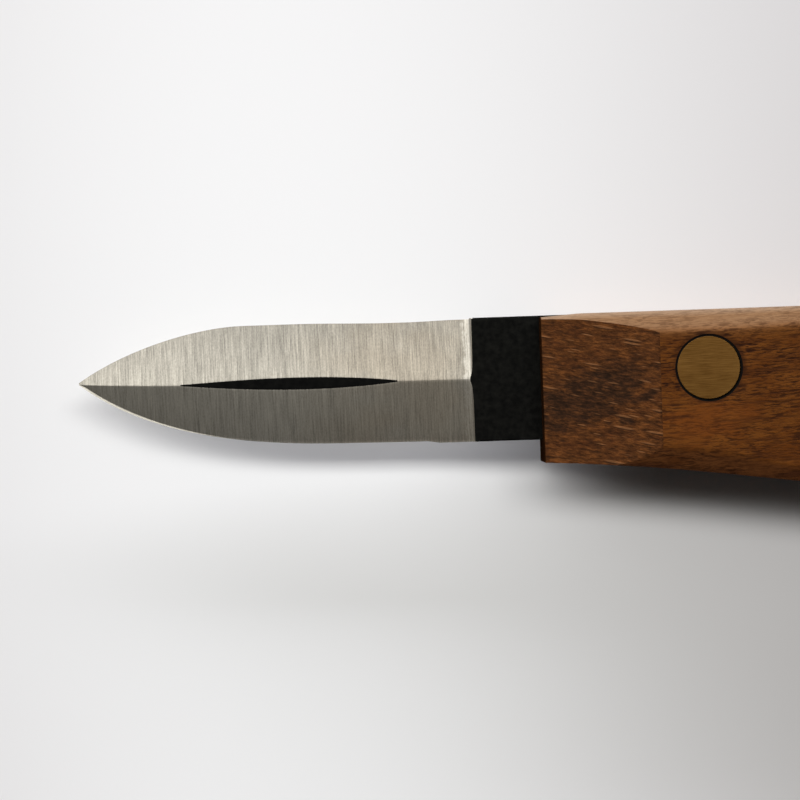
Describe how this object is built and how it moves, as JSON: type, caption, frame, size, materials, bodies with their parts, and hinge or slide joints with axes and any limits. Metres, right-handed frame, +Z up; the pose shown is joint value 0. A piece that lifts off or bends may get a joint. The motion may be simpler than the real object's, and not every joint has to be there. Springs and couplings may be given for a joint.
{
  "type": "wood carving knife",
  "caption": "Fixed-blade wood carving knife: double-bevel spear blade ground from flat bar, its tang pinned with brass between wooden handle scales.",
  "frame": {"origin": "on the flat right side that the knife lies on, on the bar's centre line, midway between the two pins", "axes": "+X from the tip to the butt, +Y towards the handle's straight back, +Z up from the flat side the knife lies on"},
  "size_m": [0.1865, 0.0284, 0.018],
  "materials": {
    "blade_steel": "bevels ground with fine cross lines, unground bar left black",
    "handle_wood": "oiled open-pored hardwood",
    "pin_brass": "ground flush, fine scratches"
  },
  "bodies": {
    "root": {"blade": "blade_steel", "left_scale": "handle_wood", "right_scale": "handle_wood", "front_pin": "pin_brass", "rear_pin": "pin_brass"}
  },
  "joints": []
}
